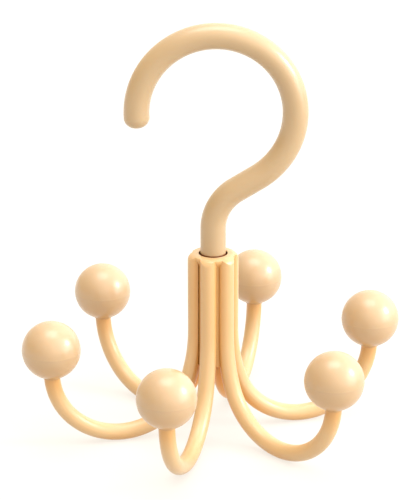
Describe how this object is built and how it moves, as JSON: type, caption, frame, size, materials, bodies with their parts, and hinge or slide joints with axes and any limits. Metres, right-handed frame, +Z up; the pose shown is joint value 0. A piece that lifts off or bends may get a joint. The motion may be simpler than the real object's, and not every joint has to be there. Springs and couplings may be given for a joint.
{
  "type": "scarf hanger",
  "caption": "Swivel scarf hanger: a round-rod hook turns in a fluted hub whose curved arms rise to ball ends, to hold scarves, ties and belts.",
  "frame": {"origin": "on the hub's axis, at the level of the arms' lowest points, which is the centre of the bounding box's bottom", "axes": "+Z up along the hub's axis; the hook lies in the XZ plane and opens towards -X"},
  "size_m": [0.1464, 0.146, 0.165],
  "materials": {
    "claw_plastic": "glossy, slightly translucent cream-apricot moulding",
    "ball_plastic": "glossy cream-apricot moulding",
    "hook_plastic": "glossy cream-apricot moulding",
    "steel": "zinc plated"
  },
  "bodies": {
    "claw": {"hub": "claw_plastic", "arm_1": "claw_plastic", "arm_2": "claw_plastic", "arm_3": "claw_plastic", "arm_4": "claw_plastic", "arm_5": "claw_plastic", "arm_6": "claw_plastic", "ball_lower_1": "ball_plastic", "ball_lower_2": "ball_plastic", "ball_lower_3": "ball_plastic", "ball_lower_4": "ball_plastic", "ball_lower_5": "ball_plastic", "ball_lower_6": "ball_plastic", "ball_upper_1": "ball_plastic", "ball_upper_2": "ball_plastic", "ball_upper_3": "ball_plastic", "ball_upper_4": "ball_plastic", "ball_upper_5": "ball_plastic", "ball_upper_6": "ball_plastic"},
    "hook": {"hook": "hook_plastic", "washer": "steel", "retaining_screw": "steel"}
  },
  "joints": [
    {"name": "hook_swivel", "type": "hinge", "parent": "claw", "child": "hook", "pos_m": [0, 0, 0.0743], "axis": [0, 0, 1], "continuous": true}
  ]
}
